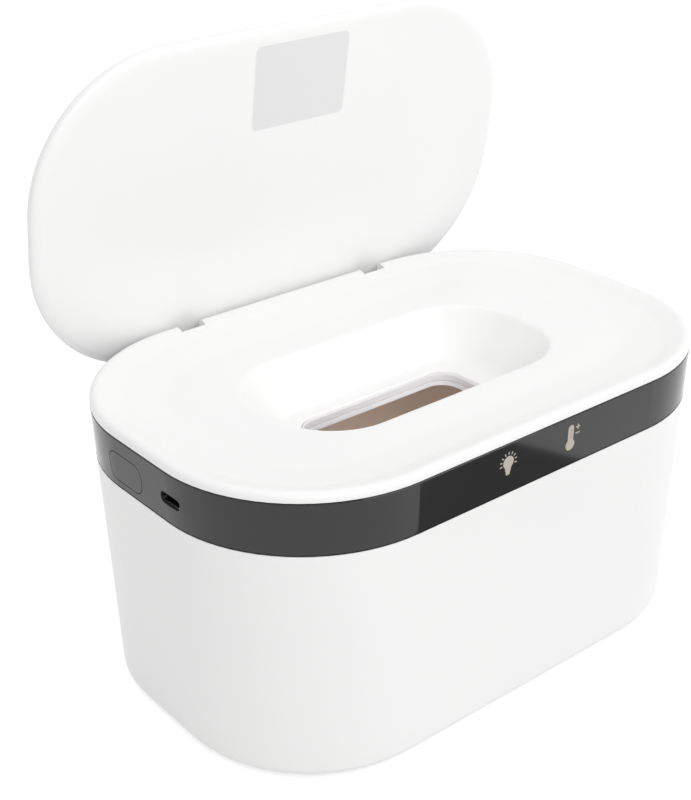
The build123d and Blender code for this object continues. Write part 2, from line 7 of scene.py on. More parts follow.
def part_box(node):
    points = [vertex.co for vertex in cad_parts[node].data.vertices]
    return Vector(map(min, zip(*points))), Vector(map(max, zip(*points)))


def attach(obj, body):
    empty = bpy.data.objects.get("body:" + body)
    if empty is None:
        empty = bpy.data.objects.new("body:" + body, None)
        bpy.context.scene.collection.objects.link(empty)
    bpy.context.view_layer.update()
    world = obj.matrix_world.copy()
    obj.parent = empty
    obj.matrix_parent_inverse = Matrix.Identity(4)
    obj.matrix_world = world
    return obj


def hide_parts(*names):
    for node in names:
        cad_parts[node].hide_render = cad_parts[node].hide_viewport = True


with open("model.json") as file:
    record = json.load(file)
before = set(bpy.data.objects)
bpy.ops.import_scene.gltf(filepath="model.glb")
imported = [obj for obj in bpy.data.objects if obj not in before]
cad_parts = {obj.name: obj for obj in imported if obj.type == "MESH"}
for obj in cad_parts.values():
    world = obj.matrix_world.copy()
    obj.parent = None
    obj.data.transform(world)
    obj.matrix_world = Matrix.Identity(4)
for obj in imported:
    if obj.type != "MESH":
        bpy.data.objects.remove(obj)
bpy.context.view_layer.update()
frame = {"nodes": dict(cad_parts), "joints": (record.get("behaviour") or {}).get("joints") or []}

mm = 0.001
nodes = frame["nodes"]
hinge = [joint for joint in frame["joints"] if joint["name"] == "lid_hinge"][0]

# Levels and sizes read from the frame
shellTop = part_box("outer_shell")[1].z
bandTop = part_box("control_band")[1].z
coverLow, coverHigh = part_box("top_cover")
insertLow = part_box("slot_ring")[0].z
hingeY, hingeZ = hinge["pos_m"][1:]
restAngle = radians(-hinge["range_deg"][0])

body = {
    "length": 2 * coverHigh.x,
    "width": -2 * coverLow.y,
    "corner": 51 * mm,
    "lean": 0.032,  # inward lean for each unit downwards from the band's top
    "top": bandTop,
}
cornerSteps = 20  # faces in each rounded corner of an outline
arcSteps = 6  # faces in each arc of a section
tiny = 1e-6
nudge = 0.02 * mm  # loops to be joined lie this far apart in height, so that they pair the right way
sameLevel = 1.5 * nudge  # loops no further apart than this count as one level


# Modelling by hand: selections, outlines and rings

def clearSelection():
    if bpy.context.mode != "OBJECT":
        bpy.ops.object.mode_set(mode="OBJECT")
    bpy.ops.object.select_all(action="DESELECT")


def pick(piece, mode="OBJECT"):
    clearSelection()
    piece.select_set(True)
    bpy.context.view_layer.objects.active = piece
    bpy.ops.object.mode_set(mode=mode)


def applyPlace():  # moves the object's place, turn and size into its mesh
    bpy.ops.object.transform_apply(location=True, rotation=True, scale=True)


def roundCorners(corner):
    bpy.ops.mesh.bevel(offset=corner, offset_type="OFFSET", segments=cornerSteps, affect="VERTICES",
                       profile=0.5)  # a circular corner


def startOutline(name, size, z, y=0):  # a new piece that starts as one rounded face, left in edit mode
    clearSelection()
    bpy.ops.mesh.primitive_plane_add(size=1, location=(0, y, z))
    piece = bpy.context.object
    piece.name = name
    piece.scale = (size[0], size[1], 1)
    applyPlace()
    bpy.ops.object.mode_set(mode="EDIT")
    bpy.ops.mesh.select_all(action="SELECT")
    roundCorners(size[2])
    return piece


def addOutline(size, z, y=0):  # another rounded outline in the piece that is being edited
    bpy.ops.mesh.select_all(action="DESELECT")
    bpy.ops.mesh.primitive_plane_add(size=1, location=(0, y, z))
    bpy.ops.transform.resize(value=(size[0], size[1], 1), center_override=(0, y, z))
    roundCorners(size[2])
    bpy.ops.mesh.delete(type="ONLY_FACE")


def selectOpenEdges(z):  # the open edges that lie at one height
    piece = bpy.context.object
    bpy.ops.mesh.select_mode(type="EDGE")
    bpy.ops.mesh.select_all(action="DESELECT")
    bpy.ops.mesh.select_non_manifold(extend=False, use_wire=True, use_boundary=True, use_multi_face=False,
                                     use_non_contiguous=False, use_verts=False)
    bpy.ops.object.mode_set(mode="OBJECT")
    heights = [vertex.co.z for vertex in piece.data.vertices]
    for edge in piece.data.edges:
        if edge.select and max(abs(heights[i] - z) for i in edge.vertices) > sameLevel:
            edge.select = False
    for vertex in piece.data.vertices:
        vertex.select = False
    for edge in piece.data.edges:
        if edge.select:
            for i in edge.vertices:
                piece.data.vertices[i].select = True
    bpy.ops.object.mode_set(mode="EDIT")
    bpy.ops.mesh.select_mode(type="EDGE")


def bridgeAt(z):
    selectOpenEdges(z)
    bpy.ops.mesh.bridge_edge_loops()


def capAt(z, facing=1):  # closes an outline with a face that looks up, or down for -1
    selectOpenEdges(z)
    bpy.ops.mesh.edge_face_add()
    bpy.ops.mesh.select_mode(type="FACE")
    piece = bpy.context.object
    piece.update_from_editmode()
    cap = [face for face in piece.data.polygons if face.select][0]
    if cap.normal.z * facing < 0:
        bpy.ops.mesh.flip_normals()


def openFace():
    bpy.ops.mesh.delete(type="ONLY_FACE")


def ring(inward, rise, facing=1):  # one more ring of faces: inset and raised, or a straight wall
    if inward > tiny:
        bpy.ops.mesh.inset(thickness=inward, depth=rise * facing, use_even_offset=True)
    else:
        bpy.ops.mesh.extrude_region_move(TRANSFORM_OT_translate={"value": (0, 0, rise)})


def softened(corners):  # a path of (inset, height, radius) corners with arcs at its corners
    points = [Vector(corners[0][:2])]
    for before, corner, after in zip(corners, corners[1:], corners[2:]):
        here = Vector(corner[:2])
        back = (Vector(before[:2]) - here).normalized()
        ahead = (Vector(after[:2]) - here).normalized()
        half = back.angle(ahead) / 2
        reach = corner[2] / tan(half)
        centre = here + (back + ahead).normalized() * corner[2] / sin(half)
        start, end = here + back * reach - centre, here + ahead * reach - centre
        sweep = start.angle(end)
        for step in range(arcSteps + 1):
            part = step / arcSteps
            turned = start * sin((1 - part) * sweep) + end * sin(part * sweep)
            points.append(centre + turned / sin(sweep))
    points.append(Vector(corners[-1][:2]))
    return points


def follow(points, facing=1, lengthAt=None):  # rings along a path, the length set apart where it is given
    for start, end in zip(points, points[1:]):
        ring(end.x - start.x, end.y - start.y, facing)
        if lengthAt:
            setLength(lengthAt(end.x))


def setLength(length):  # stretches the selected ring along X
    piece = bpy.context.object
    piece.update_from_editmode()
    half = max(vertex.co.x for vertex in piece.data.vertices if vertex.select)
    bpy.ops.transform.resize(value=(length / (2 * half), 1, 1), center_override=(0, 0, 0))


def selectFace(direction, z, reach=10 * tiny, facing=0.99):  # the largest face that looks one way
    piece = bpy.context.object
    bpy.ops.mesh.select_mode(type="FACE")
    bpy.ops.mesh.select_all(action="DESELECT")
    bpy.ops.object.mode_set(mode="OBJECT")
    faces = [face for face in piece.data.polygons
             if face.normal.dot(Vector(direction)) > facing and abs(face.center.z - z) < reach]
    max(faces, key=lambda face: face.area).select = True
    bpy.ops.object.mode_set(mode="EDIT")


def turnOut():  # the faces of a closed piece point outwards, and its editing ends
    bpy.ops.mesh.select_all(action="SELECT")
    bpy.ops.mesh.normals_make_consistent(inside=False)
    bpy.ops.object.mode_set(mode="OBJECT")


def insetSize(size, inset):  # an outline's length, width and corner, moved inwards
    return (size[0] - 2 * inset, size[1] - 2 * inset, size[2] - inset)


def turnsUpTo(most, steps):  # evenly spaced angles from none to the most
    return [most * step / steps for step in range(steps + 1)]


def combine(piece, other, operation):
    pick(piece)
    modifier = piece.modifiers.new(operation.lower(), "BOOLEAN")
    modifier.operation = operation
    modifier.solver = "EXACT"
    modifier.object = other
    bpy.ops.object.modifier_apply(modifier=modifier.name)
    bpy.data.objects.remove(other)


def addBlock(low, high):
    clearSelection()
    centre = [(a + b) / 2 for a, b in zip(low, high)]
    bpy.ops.mesh.primitive_cube_add(size=1, location=centre)
    block = bpy.context.object
    block.scale = [b - a for a, b in zip(low, high)]
    applyPlace()
    return block


def addRod(radius, length, centre, steps=32):  # a rod along X
    clearSelection()
    bpy.ops.mesh.primitive_cylinder_add(vertices=steps, radius=radius, depth=length, location=centre,
                                        rotation=(0, pi / 2, 0))
    applyPlace()
    return bpy.context.object


def softenEdges(piece, width, angle=35, segments=3):
    pick(piece)
    bevel = piece.modifiers.new("edges", "BEVEL")
    bevel.width = width
    bevel.segments = segments
    bevel.limit_method = "ANGLE"
    bevel.angle_limit = radians(angle)
    bevel.use_clamp_overlap = True
    bpy.ops.object.modifier_apply(modifier=bevel.name)


def finishPiece(piece, material, bodyName, slotName, *replaced, smooth=32):
    pick(piece)
    bpy.ops.object.shade_smooth_by_angle(angle=radians(smooth))
    piece.data.materials.clear()
    piece.data.materials.append(material)
    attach(piece, bodyName)
    if replaced:
        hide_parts(*replaced)
    print("made", piece.name)


# Materials

def addNode(tree, kind, **settings):
    node = tree.nodes.new(kind)
    for name, value in settings.items():
        setattr(node, name, value)
    return node


def setInputs(node, **values):
    for name, value in values.items():
        node.inputs[name.replace("_", " ")].default_value = value


def addSocket(group, name, direction):
    kind = "NodeSocketColor" if "Colour" in name else "NodeSocketFloat"
    return group.interface.new_socket(name=name, in_out=direction, socket_type=kind)


def makeMouldedGroup():
    # moulded surface: soft cloudiness in the colour and gloss, and a fine grain
    group = bpy.data.node_groups.new("mouldedSurface", "ShaderNodeTree")
    starting = {"Colour": (0.9, 0.9, 0.9, 1), "Cloud Colour": (0.8, 0.8, 0.8, 1), "Cloud Scale": 14.0,
                "Smoothest": 0.25, "Roughest": 0.35, "Grain Scale": 2500.0}
    for name, value in starting.items():
        addSocket(group, name, "INPUT").default_value = value
    for name in ("Colour", "Roughness", "Height"):
        addSocket(group, name, "OUTPUT")
    inward = group.nodes.new("NodeGroupInput")
    outward = group.nodes.new("NodeGroupOutput")
    place = group.nodes.new("ShaderNodeTexCoord")
    cloud = addNode(group, "ShaderNodeTexNoise")
    setInputs(cloud, Detail=1.5, Roughness=0.4)
    smear = addNode(group, "ShaderNodeTexNoise")
    setInputs(smear, Scale=24.0, Detail=1.0, Roughness=0.4)
    grain = addNode(group, "ShaderNodeTexNoise")
    setInputs(grain, Detail=2.0, Roughness=0.5)
    cloudRange = addNode(group, "ShaderNodeMapRange", interpolation_type="SMOOTHERSTEP")
    setInputs(cloudRange, From_Min=0.2, From_Max=0.8)
    smearRange = addNode(group, "ShaderNodeMapRange", interpolation_type="SMOOTHERSTEP")
    setInputs(smearRange, From_Min=0.15, From_Max=0.85)
    tint = addNode(group, "ShaderNodeMix", data_type="RGBA")
    link = group.links.new
    for texture in (cloud, smear, grain):
        link(place.outputs["Object"], texture.inputs["Vector"])
    link(inward.outputs["Cloud Scale"], cloud.inputs["Scale"])
    link(inward.outputs["Grain Scale"], grain.inputs["Scale"])
    link(cloud.outputs["Fac"], cloudRange.inputs["Value"])
    link(cloudRange.outputs["Result"], tint.inputs["Factor"])
    link(inward.outputs["Colour"], tint.inputs["A"])
    link(inward.outputs["Cloud Colour"], tint.inputs["B"])
    link(smear.outputs["Fac"], smearRange.inputs["Value"])
    link(inward.outputs["Smoothest"], smearRange.inputs["To Min"])
    link(inward.outputs["Roughest"], smearRange.inputs["To Max"])
    link(tint.outputs["Result"], outward.inputs["Colour"])
    link(smearRange.outputs["Result"], outward.inputs["Roughness"])
    link(grain.outputs["Fac"], outward.inputs["Height"])
    return group


mouldedGroup = makeMouldedGroup()
plainLook = {
    "cloudScale": 14,
    "grain": 0.1,
    "grainScale": 2500,
    "grainDepth": 0.02 * mm,
    "shader": {},  # values that are the same all over, set on the shader itself
}


def makeMaterial(name, look):
    look = {**plainLook, **look}
    material = bpy.data.materials.new(name)
    material.use_nodes = True
    tree = material.node_tree
    shader = tree.nodes["Principled BSDF"]
    surface = addNode(tree, "ShaderNodeGroup", node_tree=mouldedGroup)
    smoothest, roughest = look["gloss"]
    setInputs(surface, Colour=(*look["colour"], 1), Cloud_Colour=(*look["cloud"], 1),
              Cloud_Scale=look["cloudScale"], Smoothest=smoothest, Roughest=roughest,
              Grain_Scale=look["grainScale"])
    bump = addNode(tree, "ShaderNodeBump")
    setInputs(bump, Strength=look["grain"], Distance=look["grainDepth"])
    link = tree.links.new
    link(surface.outputs["Colour"], shader.inputs["Base Color"])
    link(surface.outputs["Roughness"], shader.inputs["Roughness"])
    link(surface.outputs["Height"], bump.inputs["Height"])
    link(bump.outputs["Normal"], shader.inputs["Normal"])
    for socket, value in look["shader"].items():
        shader.inputs[socket].default_value = value
    return material


polished = {"grain": 0.03, "grainScale": 160}
smoked = {"colour": (0.026, 0.026, 0.027), "cloud": (0.030, 0.030, 0.031), "grain": 0.02, "grainScale": 160,
          "shader": {"IOR": 1.42}}
metal = {"shader": {"Metallic": 1.0}}
looks = {
    "whitePlastic": {"colour": (0.90, 0.90, 0.895), "cloud": (0.885, 0.885, 0.882), "gloss": (0.29, 0.36),
                     **polished},
    "coverPlastic": {"colour": (0.91, 0.91, 0.905), "cloud": (0.895, 0.895, 0.892), "gloss": (0.28, 0.34),
                     **polished},
    # painted light: set lighter than the cover plastic so that the shade falling on the lid's inner face
    # near the hinge looks lifted
    "lidPlasticPaintedLight": {"colour": (0.932, 0.932, 0.927), "cloud": (0.918, 0.918, 0.915), "gloss": (0.3, 0.38),
                   **polished},
    "basePlastic": {"colour": (0.82, 0.82, 0.81), "cloud": (0.77, 0.77, 0.765), "gloss": (0.5, 0.62),
                    "grain": 0.5},
    "smokedPlastic": {**smoked, "gloss": (0.06, 0.1)},
    "buttonPlastic": {**smoked, "gloss": (0.08, 0.13)},
    # painted shade: near-black and barely reflective, for the strip that stands in for the shadow under the
    # band
    "paintedSeamShadow": {"colour": (0.010, 0.010, 0.010), "cloud": (0.014, 0.014, 0.014), "gloss": (0.8, 0.9),
                  "shader": {"IOR": 1.15}},
    "linerPlastic": {"colour": (0.64, 0.52, 0.43), "cloud": (0.60, 0.485, 0.40), "gloss": (0.4, 0.5)},
    "slotSilicone": {"colour": (0.80, 0.785, 0.81), "cloud": (0.78, 0.765, 0.79), "gloss": (0.45, 0.55)},
    "sealSilicone": {"colour": (0.75, 0.75, 0.78), "cloud": (0.70, 0.70, 0.74), "gloss": (0.5, 0.6)},
    "footRubber": {"colour": (0.05, 0.05, 0.05), "cloud": (0.07, 0.07, 0.07), "gloss": (0.7, 0.85),
                   "grain": 0.6},
    "foam": {"colour": (0.10, 0.10, 0.105), "cloud": (0.14, 0.14, 0.145), "gloss": (0.85, 0.95),
             "grain": 1.0, "grainScale": 900, "grainDepth": 0.2 * mm},
    "steel": {"colour": (0.55, 0.55, 0.57), "cloud": (0.48, 0.48, 0.5), "gloss": (0.25, 0.4), **metal},
    "socketSteel": {"colour": (0.24, 0.24, 0.25), "cloud": (0.18, 0.18, 0.19), "gloss": (0.22, 0.3),
                    **metal},
    "aluminium": {"colour": (0.72, 0.72, 0.74), "cloud": (0.66, 0.66, 0.68), "gloss": (0.3, 0.45), **metal},
    "amberFilm": {"colour": (0.30, 0.13, 0.03), "cloud": (0.24, 0.10, 0.02), "gloss": (0.2, 0.3)},
    "fuseSleeve": {"colour": (0.75, 0.72, 0.64), "cloud": (0.68, 0.65, 0.57), "gloss": (0.4, 0.5)},
    "blackResin": {"colour": (0.02, 0.02, 0.02), "cloud": (0.03, 0.03, 0.03), "gloss": (0.3, 0.4)},
    "boardGreen": {"colour": (0.02, 0.12, 0.05), "cloud": (0.015, 0.09, 0.04), "gloss": (0.2, 0.3)},
    "ledResin": {"colour": (0.85, 0.78, 0.45), "cloud": (0.8, 0.72, 0.4), "gloss": (0.1, 0.2)},
    "symbolInk": {"colour": (0.50, 0.45, 0.40), "cloud": (0.44, 0.39, 0.34), "gloss": (0.3, 0.4)},
    "labelFilm": {"colour": (0.80, 0.80, 0.80), "cloud": (0.77, 0.77, 0.77), "gloss": (0.42, 0.5)},
}
materials = {name: makeMaterial(name, look) for name, look in looks.items()}

nodeFinishes = {
    "outer_shell": "whitePlastic", "base_plate": "basePlastic", "base_screws": "steel",
    "rubber_feet": "footRubber", "control_band": "smokedPlastic", "power_button": "buttonPlastic",
    "usb_c_socket": "socketSteel", "wipe_chamber": "linerPlastic", "heater_plate": "aluminium",
    "heater_film": "amberFilm", "thermal_fuse": "fuseSleeve", "temperature_sensor": "blackResin",
    "insulation_foam": "foam", "control_board": "boardGreen", "board_screws": "steel",
    "tact_switch": "blackResin", "touch_board": "boardGreen", "touch_pads": "foam",
    "night_light_leds": "ledResin", "cover_seal": "sealSilicone", "hinge_pins": "steel",
}
for name, finish in nodeFinishes.items():
    nodes[name].data.materials.clear()
    nodes[name].data.materials.append(materials[finish])
print("materials given to", len(nodeFinishes), "nodes")


# Top cover: rim, banked dish, well and hinge block in one moulding

cover = {
    "rimHeight": 2.7 * mm,
    "rimFoot": 0.3375 * mm,  # upright stretch below the rim's rounding
    "skirtInset": 3.3 * mm,
    "underside": 6.7 * mm,  # below the rim's top
    "edgeRadius": 1.9 * mm,
    "rimWidth": 2.6 * mm,
    "crestRadius": 3.8 * mm,
    "bankInset": 9.0 * mm,
    "bankDepth": 2.5 * mm,
    "bankRadius": 14 * mm,
    "floorInset": 22.0 * mm,
    "floorDepth": 4.3 * mm,
    "floorRadius": 30 * mm,
    "floorFlat": 5 * mm,
    "wellTop": (110 * mm, 56.6 * mm, 24 * mm),  # length, width, corner
    "wellFloor": (82 * mm, 35 * mm, 13 * mm),
    "wellEdge": 2.2 * mm,
    "wellDepth": 16.2 * mm,
    "wellRadius": 5 * mm,
    "wall": 2.4 * mm,
    "wellWall": 3.0 * mm,
    "slot": (67 * mm, 26 * mm, 8 * mm),
    "slotShift": -1.7 * mm,
    "slotEdge": 0.8 * mm,
    "slotEdgeSteps": 5,
    "channelInset": 3.0 * mm,  # the seal's channel in the underside
    "channelWidth": 6.0 * mm,
    "channelDepth": 1.9 * mm,
    "channelTaper": 0.2 * mm,
    "softEdge": 0.3 * mm,
    "softAngle": 40,
}
hingeBlock = {
    "halfLength": 52.4 * mm,
    "front": 52.6 * mm,
    "bottom": 82.1 * mm,
    "flushGap": 0.02 * mm,  # its rear stays inside the body's wall by this
    "overSeat": 0.5 * mm,
    "topDrop": 1.2 * mm,  # its front top edge stays under the dish by this
    "armX": 40 * mm,
    "armWidth": 9 * mm,
    "armGap": 0.3 * mm,
    "pocketFront": 54.0 * mm,
    "pocketFloor": 84.7 * mm,
    "pocketRoof": 96.4 * mm,
    "throat": 60.2 * mm,
    "pinRadius": 1.25 * mm,
    "pinOverhang": 17.5 * mm,  # both pin bores together, beyond the arms' middles
    "shoulder": 9.7 * mm,  # distance of the turned shoulder from the hinge axis
    "notchShoulder": 8.1 * mm,
    "notchHalfLength": 49.3 * mm,
    "sweepReach": 30 * mm,
    "sweepSteps": 24,
    "cutBehind": 10 * mm,  # how far the cutters go past the moulding
    "cutAbove": 5 * mm,
}


def makeTopCover():
    outline = (body["length"], body["width"], body["corner"])
    rimTop = coverHigh.z
    seat = rimTop - cover["rimHeight"]
    underside = rimTop - cover["underside"]
    dishFloor = rimTop - cover["floorDepth"]
    wellFloor = dishFloor - cover["wellDepth"]
    wellUnder = wellFloor - cover["wall"]
    top, floor, slot = cover["wellTop"], cover["wellFloor"], cover["slot"]
    # seat, skirt and the channel under the rim, looking down
    piece = startOutline("topCover", outline, seat)
    bpy.ops.mesh.flip_normals()
    ring(cover["skirtInset"], 0, -1)
    ring(0, underside - seat)
    ring(cover["channelInset"], 0, -1)
    ring(cover["channelTaper"], cover["channelDepth"], -1)
    ring(cover["channelWidth"] - 2 * cover["channelTaper"], 0, -1)
    ring(cover["channelTaper"], -cover["channelDepth"], -1)
    openFace()
    # outside of the well
    outerTop, outerFloor = insetSize(top, -cover["wellWall"]), insetSize(floor, -cover["wellWall"])
    part = (dishFloor - underside) / (dishFloor - wellUnder)
    outerStart = [a + (b - a) * part for a, b in zip(outerTop, outerFloor)]
    addOutline(outerStart, underside - nudge)
    bridgeAt(underside)
    capAt(underside, -1)
    ring((outerStart[1] - outerFloor[1]) / 2, wellUnder - underside, -1)
    setLength(outerFloor[0])
    openFace()
    # rim, bank and dish
    selectOpenEdges(seat)
    start = seat + cover["rimFoot"]
    bpy.ops.mesh.extrude_region_move(TRANSFORM_OT_translate={"value": (0, 0, start - seat)})
    capAt(start)
    follow(softened((
        (0, start, 0),
        (0, rimTop, cover["edgeRadius"]),
        (cover["rimWidth"], rimTop, cover["crestRadius"]),
        (cover["bankInset"], rimTop - cover["bankDepth"], cover["bankRadius"]),
        (cover["floorInset"], dishFloor, cover["floorRadius"]),
        (cover["floorInset"] + cover["floorFlat"], dishFloor, 0),
    )))
    openFace()
    # inside of the well, from just outside its rounded edge down to the slot
    wellInset = (top[1] - floor[1]) / 2
    slotInset = (top[1] - slot[1]) / 2
    edgeReach = cover["wellEdge"] * tan(atan(cover["wellDepth"] / wellInset) / 2)

    def lengthAt(inset):
        if inset < wellInset:
            return top[0] - (top[0] - floor[0]) * inset / wellInset
        part = (inset - wellInset) / (slotInset - wellInset)
        return floor[0] - (floor[0] - slot[0]) * min(part, 1)

    addOutline((lengthAt(-edgeReach), *insetSize(top, -edgeReach)[1:]), dishFloor - nudge)
    bridgeAt(dishFloor)
    capAt(dishFloor)
    follow(softened((
        (-edgeReach - tiny, dishFloor - nudge, 0),
        (0, dishFloor - nudge, cover["wellEdge"]),
        (wellInset, wellFloor, cover["wellRadius"]),
        (slotInset - cover["slotEdge"], wellFloor, 0),
    ))[1:], lengthAt=lengthAt)
    # the slot, a little to the left of the middle, with its rounded edge
    setLength(slot[0] + 2 * cover["slotEdge"])
    bpy.ops.transform.translate(value=(cover["slotShift"], 0, 0))
    follow([Vector((cover["slotEdge"] * sin(turn), wellFloor - cover["slotEdge"] * (1 - cos(turn))))
            for turn in turnsUpTo(pi / 2, cover["slotEdgeSteps"])])
    ring(0, wellUnder + nudge - wellFloor + cover["slotEdge"])
    openFace()
    bridgeAt(wellUnder)
    turnOut()
    return piece


def makeSweepCutter(shoulder, halfLength):  # what the closing lid's edge passes through, behind the axis
    far = hingeBlock["sweepReach"]
    clearSelection()
    bpy.ops.mesh.primitive_plane_add(size=1, location=(0, hingeY + (shoulder + far) / 2, hingeZ))
    cutter = bpy.context.object
    cutter.scale = (2 * halfLength, far - shoulder, 1)
    applyPlace()
    bpy.ops.object.mode_set(mode="EDIT")
    bpy.ops.mesh.select_all(action="SELECT")
    bpy.ops.mesh.spin(steps=hingeBlock["sweepSteps"], angle=pi / 2, center=(0, hingeY, hingeZ),
                      axis=(1, 0, 0))
    bpy.ops.mesh.select_all(action="SELECT")
    bpy.ops.mesh.remove_doubles(threshold=tiny)
    turnOut()
    return cutter


def addHingeBlock(piece):
    block = hingeBlock
    rear = body["width"] / 2 - block["flushGap"]
    top = coverHigh.z - cover["rimHeight"] + block["overSeat"]
    tongue = addBlock((-block["halfLength"], block["front"], block["bottom"]),
                      (block["halfLength"], rear, top))
    for vertex in tongue.data.vertices:  # its rear leans with the body's wall, its top stays under the dish
        if vertex.co.z < hingeZ and vertex.co.y > hingeY:
            vertex.co.y -= body["lean"] * (body["top"] - block["bottom"])
        if vertex.co.z > hingeZ and vertex.co.y < hingeY:
            vertex.co.z -= block["topDrop"]
    combine(piece, tongue, "UNION")
    combine(piece, makeSweepCutter(block["shoulder"], body["length"]), "DIFFERENCE")
    combine(piece, makeSweepCutter(block["notchShoulder"], block["notchHalfLength"]), "DIFFERENCE")
    half = block["armWidth"] / 2 + block["armGap"]
    behind = body["width"] / 2 + block["cutBehind"]
    above = coverHigh.z + block["cutAbove"]
    for side in (-1, 1):
        x = side * block["armX"]
        pocket = addBlock((x - half, block["pocketFront"], block["pocketFloor"]),
                          (x + half, behind, block["pocketRoof"]))
        combine(piece, pocket, "DIFFERENCE")
        throat = addBlock((x - half, block["throat"], hingeZ), (x + half, behind, above))
        combine(piece, throat, "DIFFERENCE")
    bores = addRod(block["pinRadius"], 2 * block["armX"] + block["pinOverhang"], (0, hingeY, hingeZ))
    combine(piece, bores, "DIFFERENCE")


topCover = makeTopCover()
addHingeBlock(topCover)
softenEdges(topCover, cover["softEdge"], angle=cover["softAngle"])
finishPiece(topCover, materials["coverPlastic"], "cover", "cover_plastic", "top_cover")


# Painted shade: a thin near-black strip where the band stands on the shell, standing in for the shadow in
# the gap there

seamShadow = {
    "height": 0.36 * mm,
    "proud": 0.03 * mm,
    "depth": 0.5 * mm,
}


def makeSeamShadowStrip():
    low = shellTop
    inset = body["lean"] * (body["top"] - low) - seamShadow["proud"]
    piece = startOutline("seamShadowStrip", insetSize((body["length"], body["width"], body["corner"]), inset), low)
    ring(0, seamShadow["height"])
    ring(seamShadow["depth"], 0)
    ring(0, nudge - seamShadow["height"])
    openFace()
    selectFace((0, 0, -1), low)
    ring(seamShadow["depth"], 0, -1)
    openFace()
    bridgeAt(low)
    turnOut()
    # it stops at the gap in the band that the hinge block fills
    gap = hingeBlock["halfLength"] + hingeBlock["armGap"]
    opening = addBlock((-gap, hingeBlock["front"], low - nudge), (gap, body["width"], hingeZ))
    combine(piece, opening, "DIFFERENCE")
    return piece


# painted shade: this strip's dark finish takes the place of the shadow in the seam
finishPiece(makeSeamShadowStrip(), materials["paintedSeamShadow"], "housing", "smoked_plastic")


# Soft insert in the well's floor

insert = {
    "lip": (73 * mm, 32 * mm, 11 * mm),
    "lipThickness": 1.2 * mm,
    "fit": 0.05 * mm,
    "rise": 1.6 * mm,
    "skirt": 1.7 * mm,
    "flare": 0.35 * mm,  # width and depth of its rounded inner edge
    "flareSteps": (1 / 6, 1 / 3, 1 / 2),  # shares of its depth, over even shares of its width
    "wall": 0.5 * mm,
    "groove": (0.3 * mm, 0.35 * mm),  # height and depth of the line around its inner wall
    "grooveDrop": 2.4 * mm,
    "softEdge": 0.06 * mm,
    "softSteps": 2,
}


def widen(distance):  # a ring of faces that steps outwards from the selected one
    bpy.ops.mesh.extrude_region_move(TRANSFORM_OT_translate={"value": (0, 0, -nudge)})
    piece = bpy.context.object
    piece.update_from_editmode()
    chosen = [vertex.co for vertex in piece.data.vertices if vertex.select]
    halves = [max(place[axis] for place in chosen) for axis in (0, 1)]
    bpy.ops.transform.resize(value=(*[1 + distance / half for half in halves], 1),
                             center_override=(0, 0, 0), constraint_axis=(True, True, False))


def makeSlotRing():
    lipLow = insertLow
    lipHigh = lipLow + insert["lipThickness"]
    outer = insetSize(cover["slot"], insert["fit"])
    across = (insert["lip"][1] - outer[1]) / 2
    # lip, wall and its flared top
    piece = startOutline("slotRing", insert["lip"], lipLow)
    ring(0, insert["lipThickness"])
    ring(across, 0)
    setLength(outer[0])
    ring(0, insert["rise"])
    ring(insert["wall"] - insert["flare"], 0)
    for share in insert["flareSteps"]:
        ring(insert["flare"] / len(insert["flareSteps"]), -insert["flare"] * share)
    # inner wall with its line
    height, depth = insert["groove"]
    ring(0, insert["flare"] - insert["grooveDrop"])
    widen(depth)
    ring(0, -height)
    ring(depth, 0)
    lineEnd = lipHigh + insert["rise"] - insert["grooveDrop"] - height - nudge
    bottom = lipLow - insert["skirt"]
    ring(0, bottom + nudge - lineEnd)
    openFace()
    # skirt
    selectFace((0, 0, -1), lipLow)
    ring(across, 0, -1)
    setLength(outer[0])
    ring(0, -insert["skirt"])
    openFace()
    bridgeAt(bottom)
    turnOut()
    piece.location.x = cover["slotShift"]
    applyPlace()
    return piece


slotRing = makeSlotRing()
softenEdges(slotRing, insert["softEdge"], segments=insert["softSteps"])
finishPiece(slotRing, materials["slotSilicone"], "cover", "slot_silicone", "slot_ring")


# Lid: modelled shut and then turned up about the hinge

lid = {
    "size": (193 * mm, 112 * mm, 48.5 * mm),
    "rearInset": 2.3 * mm,
    "restGap": 0.5 * mm,
    "panelThickness": 2.5 * mm,
    "border": 4.0 * mm,  # width of the inner face's soft border
    "borderDepth": 2.0 * mm,
    "borderSteps": 10,
    "borderInner": 2.0 * mm,  # flat ring beside the border
    "pocket": 0.9 * mm,  # hollow behind the inner face
    "pocketTaper": 0.1 * mm,
    "shellHeight": 4.0 * mm,
    "shellWall": 2.0 * mm,
    "shellHollow": 0.8 * mm,
    "edgeHeight": 2.95 * mm,
    "edgeRadius": 2.6 * mm,
    "edgeTurn": radians(80),
    "edgeSteps": 8,
    "partingChamfer": 0.3 * mm,
    "crownReach": 46 * mm,  # from the edge to the flat middle
    "crownRings": 14,
    "panelSoftEdge": 0.2 * mm,
    "shellSoftEdge": 0.12 * mm,
    "shellSoftAngle": 50,
}
arm = {
    "thickness": 2.5 * mm,
    "barrel": 2.8 * mm,
    "pinHole": 1.31 * mm,
    # the bow's points, rearwards and upwards from the pin
    "bow": ((0, 0), (4.3 * mm, 3.4 * mm), (4.95 * mm, 7.4 * mm), (2.9 * mm, 11.3 * mm)),
    "bowSteps": 10,
}
lidY = body["width"] / 2 - lid["rearInset"] - lid["size"][1] / 2
lidFace = coverHigh.z + lid["restGap"]
parting = lidFace + lid["panelThickness"]


def openLid(piece):  # transform.rotate turns the other way with no window
    pick(piece, "EDIT")
    bpy.ops.mesh.select_all(action="SELECT")
    bpy.ops.transform.rotate(value=restAngle, orient_axis="X", center_override=(0, hingeY, hingeZ))
    bpy.ops.object.mode_set(mode="OBJECT")


